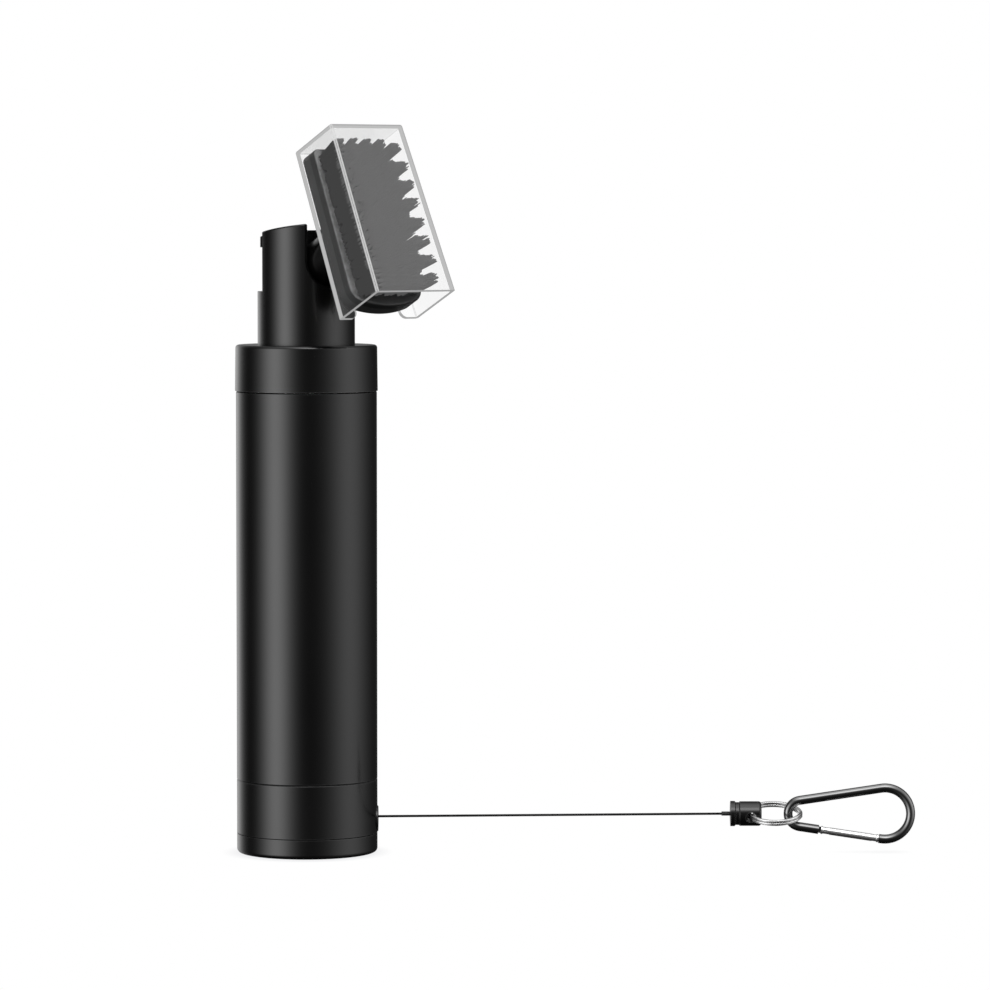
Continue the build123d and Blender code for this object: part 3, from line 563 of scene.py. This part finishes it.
def tuft(place, low, high, rng):
    """The filaments of one tuft, as a list of (vertices, faces)."""
    base, tip = tuft_ends(place, low, high)
    in_far_column = place[0] == TUFT_COLUMNS - 1
    in_end_row = place[1] in (0, TUFT_ROWS - 1)
    outer = in_far_column or in_end_row
    spread_x = FREE_TIP_R.x if in_end_row else TIP_R.x
    spread_y = FREE_TIP_R.y if in_far_column else TIP_R.y
    root_y = FREE_TIP_R.y if in_far_column else BASE_R.y
    shortest = TRIM_SHORT if outer else TRIM_INNER
    trims = [rng.uniform(-shortest, TRIM_LONG) for _ in range(TEETH)]
    strands = []
    for _ in range(FILAMENTS):
        x = rng.uniform(-1, 1)
        y = rng.uniform(-1, 1)
        root = base + Vector((x * BASE_R.x, y * root_y, 0))
        tooth = int((y + 1) / 2 * TEETH)
        if outer:
            y += (tooth_middle(tooth) - y) * CLUMPING
        scatter = Vector((rng.gauss(0, TIP_SCATTER), rng.gauss(0, TIP_SCATTER), trims[tooth]))
        end = tip + Vector((x * spread_x, y * spread_y, 0)) + scatter
        sag = Vector((rng.gauss(0, SAG), rng.gauss(0, SAG), 0))
        radius = FILAMENT_R * rng.uniform(*FILAMENT_VARIES)
        strands.append(filament(root, end, sag, radius))
    return strands


def bristle_tufts(material):
    """Rows of tufts on the plate; the outer ones lean outwards and stand apart at the tips."""
    rng = random.Random(BRISTLE_SEED)
    matrix = head_matrix()
    low, high = local_box("bristles", matrix)
    verts, faces = [], []
    for column in range(TUFT_COLUMNS):
        for row in range(TUFT_ROWS):
            for strand_verts, strand_faces in tuft((column, row), low, high, rng):
                faces += [tuple(i + len(verts) for i in face) for face in strand_faces]
                verts += strand_verts
    obj = add_mesh("bristle_tufts", [matrix @ v for v in verts], faces, material)
    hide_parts("bristles")
    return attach(obj, "head")


# ---------------------------------------------------------------- cord
CORD_SIDES = 16
CORD_END = 0.5 * MM         # the cord's radius is read from this much of its end
CORD_OVERSIZE = 1.02        # keeps the visual cord clear of the CAD cord's own surface


def free_cord(material):
    """The cord outside the reel, from the eyelet to its end."""
    retract = joint("cord_retract")
    inward = Vector(retract["axis"]).normalized()
    points = np.array([v.co for v in frame["nodes"]["pull_cord"].data.vertices])
    last = points[points[:, 0] > points[:, 0].max() - CORD_END]
    end = Vector((last.min(0) + last.max(0)) / 2)
    radius = (last[:, 1].max() - last[:, 1].min()) / 2
    bottle_r = frame["nodes"]["bottom_cap"].dimensions.x / 2
    eye = end + inward * (end.x - bottle_r) / -inward.x
    verts, faces = tube([eye, end], [radius * CORD_OVERSIZE] * 2, CORD_SIDES)
    cord = add_mesh("free_cord", verts, faces, material)
    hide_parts("pull_cord")
    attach(cord, "bottle")
    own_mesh(cord)


# ---------------------------------------------------------------- pump spring
def pump_spring(material):
    """The return spring as a copy of its own, carried by the pump."""
    mesh = frame["nodes"]["return_spring"].data.copy()
    mesh.materials.clear()
    mesh.materials.append(material)
    coil = bpy.data.objects.new("spring_coil", mesh)
    bpy.context.scene.collection.objects.link(coil)
    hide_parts("return_spring")
    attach(coil, "pump")
    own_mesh(coil)


# ---------------------------------------------------------------- studio
BACKDROP = 1.0
AMBIENT = 0.02
WHITE = grey(1.0)
# soft lights: azimuth, elevation and spread in degrees, then strength
SOFT_LIGHTS = (
    (-50, 0, 24, 3.5),
    (74, 12, 32, 1.65),
    (-150, 0, 22, 1.1),
    (10, 80, 34, 2.2),
    (5, 48, 15, 4.5),
)


def towards(azimuth, elevation):
    """The direction of a light; azimuth 0 is the camera's side, positive to its right."""
    a, e = math.radians(azimuth), math.radians(elevation)
    return Vector((math.sin(a) * math.cos(e), -math.cos(a) * math.cos(e), math.sin(e)))


def soft_light(g, azimuth, elevation, spread, strength):
    """Brightness of one round soft light in the world, fading smoothly with the angle."""
    dot = g.dot(g.add("ShaderNodeTexCoord").outputs["Generated"], towards(azimuth, elevation))
    sharpness = 2 / math.radians(spread) ** 2
    power = g.calculate("MULTIPLY_ADD", dot, sharpness, -sharpness)
    return g.calculate("MULTIPLY", g.calculate("EXPONENT", power), strength)


def direct_view(g):
    """1 for camera rays, also through the clear cover, and 0 once a ray has bounced."""
    path = g.add("ShaderNodeLightPath")
    seen = g.calculate("MAXIMUM", path.outputs["Is Camera Ray"], path.outputs["Is Transmission Ray"])
    bounces = g.calculate("ADD", path.outputs["Diffuse Depth"], path.outputs["Glossy Depth"])
    return g.calculate("MULTIPLY", seen, g.calculate("LESS_THAN", bounces, 0.5))


def studio_world():
    """White to the camera and through the clear cover; soft lights on dark for other rays."""
    world = bpy.data.worlds.new("studio")
    bpy.context.scene.world = world
    world.use_nodes = True
    g = Graph(world.node_tree)
    glow = AMBIENT
    for light in SOFT_LIGHTS:
        glow = g.calculate("ADD", soft_light(g, *light), glow)
    lit = g.add("ShaderNodeBackground")
    g.join(glow, lit.inputs["Strength"])
    seen = g.add("ShaderNodeBackground")
    seen.inputs["Strength"].default_value = BACKDROP
    for shader in (lit, seen):
        g.value(shader, "Color", WHITE)
    mix = g.mix(direct_view(g), lit.outputs["Background"], seen.outputs["Background"])
    g.join(mix, g.add("ShaderNodeOutputWorld").inputs["Surface"])


FLOOR_HALF = 8.0            # metres
FLOOR_DROP = 0.2 * MM       # the floor lies this far below the bottle
CONTACT = 5 * MM            # reach of the painted soft shadow around the bottle
CONTACT_SHADOW_TONE = (0.87, 0.87, 0.88)


def floor_material():
    """Pale floor with a painted soft shadow where the bottle stands on it."""
    g = material_graph("pale_floor")
    occlusion = g.add("ShaderNodeAmbientOcclusion", samples=8)
    occlusion.inputs["Distance"].default_value = CONTACT
    grain = g.noise(2 * MM, 2.0)
    shade = g.spread(occlusion.outputs["AO"], 0.0, 1.0, 0.45, 1.0)
    # painted contact shadow, from ambient occlusion, on the pale glow
    pale = g.glow(g.blend(shade, CONTACT_SHADOW_TONE, WHITE))
    matt = g.add("ShaderNodeBsdfDiffuse")
    g.join(g.blend(grain, grey(0.12), grey(0.14)), matt.inputs["Color"])
    g.finish(g.mix(direct_view(g), matt.outputs["BSDF"], pale))
    return g.material


def floor():
    """A large flat floor under the bottle."""
    corners = ((-1, -1), (1, -1), (1, 1), (-1, 1))
    verts = [(x * FLOOR_HALF, y * FLOOR_HALF, 0) for x, y in corners]
    obj = add_mesh("floor", verts, [(0, 1, 2, 3)], floor_material())
    obj.location.z = -FLOOR_DROP
    obj.visible_glossy = False


FILL_DIRECTION = (48, 32)               # azimuth and elevation in degrees
FILL_DISTANCE = 1.6                     # metres
FILL_SIZE = 0.8                         # metres
FILL_POWER = 14                         # watts
FILL_TARGET = Vector((0.03, 0, 0.1))    # metres


def front_fill():
    """A large soft light that only brightens matt surfaces facing right and up."""
    light = bpy.data.lights.new("front_fill", "AREA")
    light.size = FILL_SIZE
    light.energy = FILL_POWER
    obj = bpy.data.objects.new("front_fill", light)
    bpy.context.scene.collection.objects.link(obj)
    direction = towards(*FILL_DIRECTION)
    obj.location = FILL_TARGET + direction * FILL_DISTANCE
    obj.rotation_mode = "QUATERNION"
    obj.rotation_quaternion = direction.to_track_quat("Z", "Y")
    obj.visible_camera = False
    obj.visible_glossy = False
    obj.visible_transmission = False


SENSOR_MM = 36.0
LENS_MM = 185.47
CAMERA_PLACE = (0.053507, -1.44662, 0.184745)       # metres
CAMERA_DOWN = 3.283                                 # degrees below level


def camera():
    """A long lens slightly above the object, looking a little down."""
    data = bpy.data.cameras.new("camera")
    data.sensor_width = SENSOR_MM
    data.lens = LENS_MM
    data.clip_start = 0.05
    data.clip_end = 60.0
    obj = bpy.data.objects.new("camera", data)
    bpy.context.scene.collection.objects.link(obj)
    obj.location = CAMERA_PLACE
    obj.rotation_euler = (math.radians(90 - CAMERA_DOWN), 0, 0)
    bpy.context.scene.camera = obj


# ---------------------------------------------------------------- build
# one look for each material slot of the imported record, and one for the tuft plate's own node
LOOKS = {
    "shell_black": satin_black("shell_black", 0.0022, 0.17, 0.22 * MM, 0.004 * MM),
    "moulded_black": satin_black("moulded_black", 0.0026, 0.19, 0.3 * MM, 0.006 * MM),
    "head_black": satin_black("head_black", 0.036, 0.5, 0.3 * MM, 0.02 * MM),
    "tuft_plate": plate_with_painted_ledge_light(),
    "bristle_grey": bristle_nylon(),
    "clear": clear_plastic(),
    "natural": natural_plastic(),
    "rubber": rubber(),
    "cord": braided_cord(),
    "steel": metal("plated_steel", 0.95, 0.3, (1, 1, 0.2)),
    "spring_steel": metal("spring_steel", 0.42, 0.3, (1, 1, 1)),
    "clip_black": gloss_black(),
    "gate_silver": metal("gate_silver", 0.9, 0.3, (1, 8, 8)),
}

dress_nodes(LOOKS)
bristle_tufts(LOOKS["bristle_grey"])
free_cord(LOOKS["cord"])
pump_spring(LOOKS["spring_steel"])
studio_world()
floor()
front_fill()
camera()
bpy.context.scene.view_settings.view_transform = "Standard"
